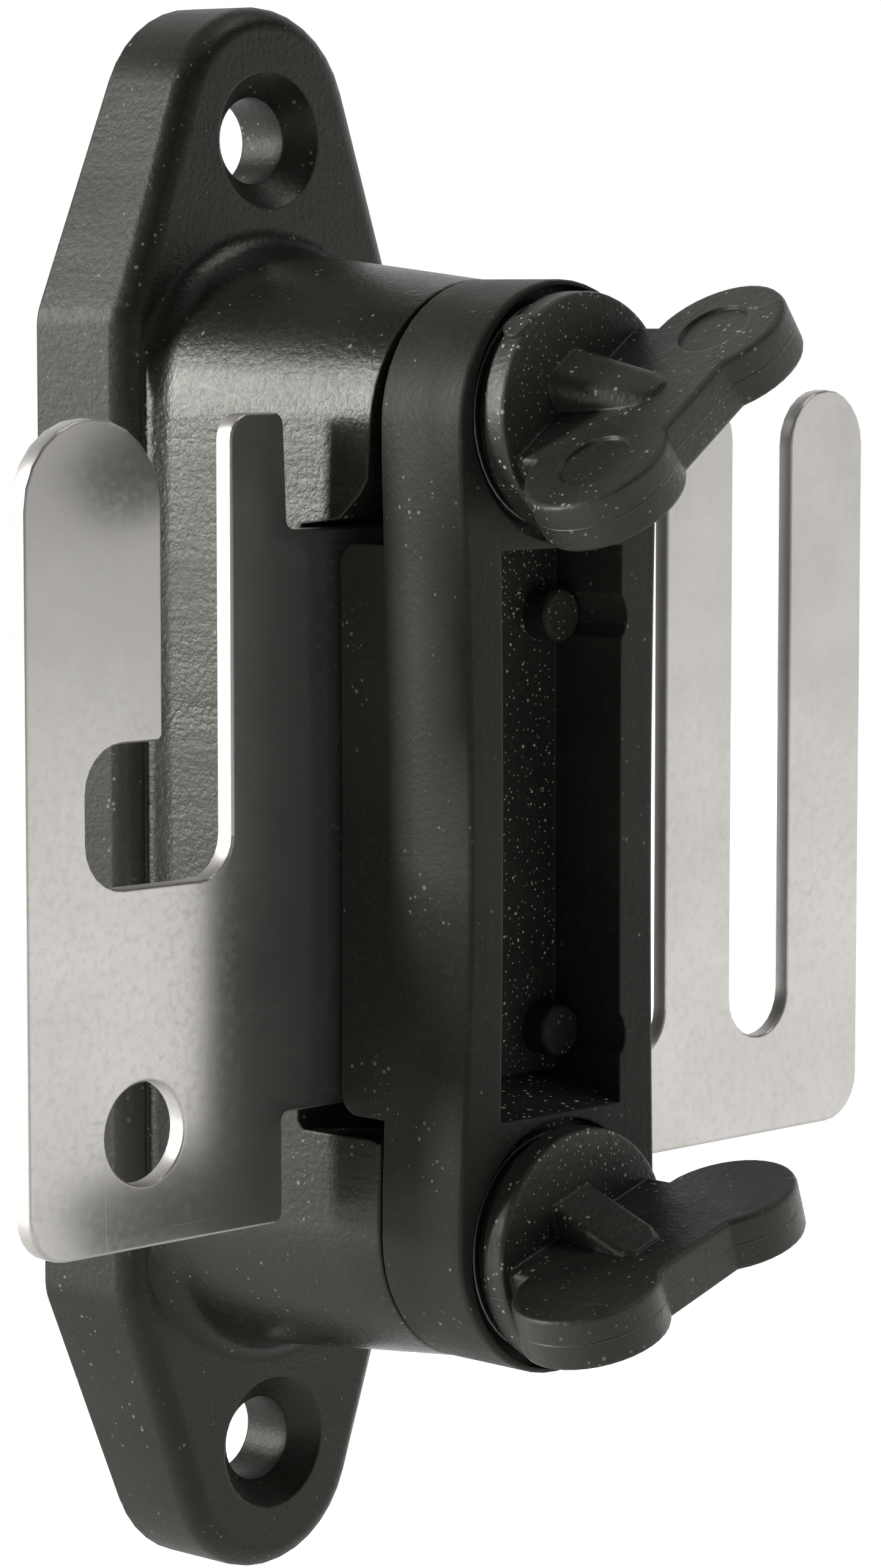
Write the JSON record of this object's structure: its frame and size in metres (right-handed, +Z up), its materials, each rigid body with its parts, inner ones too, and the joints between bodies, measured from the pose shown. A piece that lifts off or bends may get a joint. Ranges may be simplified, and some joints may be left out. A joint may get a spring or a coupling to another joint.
{
  "type": "electric fence tape insulator",
  "caption": "Screw-down insulator for electric-fence tape: a front cover with wing nuts clamps a hook plate and a slotted tape plate.",
  "frame": {"origin": "centre of the wall face, on the web across the middle of the base's back", "axes": "+Z up along the base, front faces -Y, the hook plate is at -X and the tape plate at +X"},
  "size_m": [0.0968, 0.059, 0.131],
  "materials": {
    "body_plastic": "fine satin moulded",
    "nut_plastic": "fine satin moulded",
    "stainless_sheet": "satin stainless sheet",
    "zinc_steel": "zinc plated",
    "insert_brass": "turned"
  },
  "bodies": {
    "base": {"base_insulator": "body_plastic", "upper_stud": "zinc_steel", "lower_stud": "zinc_steel"},
    "cover": {"clamp_cover": "body_plastic", "upper_washer": "zinc_steel", "lower_washer": "zinc_steel"},
    "upper_nut": {"upper_wing_nut": "nut_plastic", "upper_thread_insert": "insert_brass"},
    "lower_nut": {"lower_wing_nut": "nut_plastic", "lower_thread_insert": "insert_brass"},
    "hook_side": {"hook_plate": "stainless_sheet"},
    "tape_side": {"tape_plate": "stainless_sheet"}
  },
  "joints": [
    {"name": "cover_lift", "type": "slide", "parent": "base", "child": "cover", "axis": [0, -1, 0], "range_m": [0, 0.003]},
    {"name": "upper_nut_turn", "type": "hinge", "parent": "cover", "child": "upper_nut", "pos_m": [0, -0.0452, 0.0327], "axis": [0, -1, 0], "range_deg": [0, 1350]},
    {"name": "lower_nut_turn", "type": "hinge", "parent": "cover", "child": "lower_nut", "pos_m": [0, -0.0452, -0.0327], "axis": [0, -1, 0], "range_deg": [0, 1350]},
    {"name": "hook_plate_slide", "type": "slide", "parent": "base", "child": "hook_side", "axis": [-1, 0, 0], "range_m": [0, 0.012]},
    {"name": "tape_plate_slide", "type": "slide", "parent": "base", "child": "tape_side", "axis": [1, 0, 0], "range_m": [0, 0.012]}
  ],
  "couplings": [
    {"joint": "cover_lift", "follows": "upper_nut_turn", "m_per_rad": 0.00012732},
    {"joint": "lower_nut_turn", "follows": "upper_nut_turn", "ratio": 1}
  ]
}
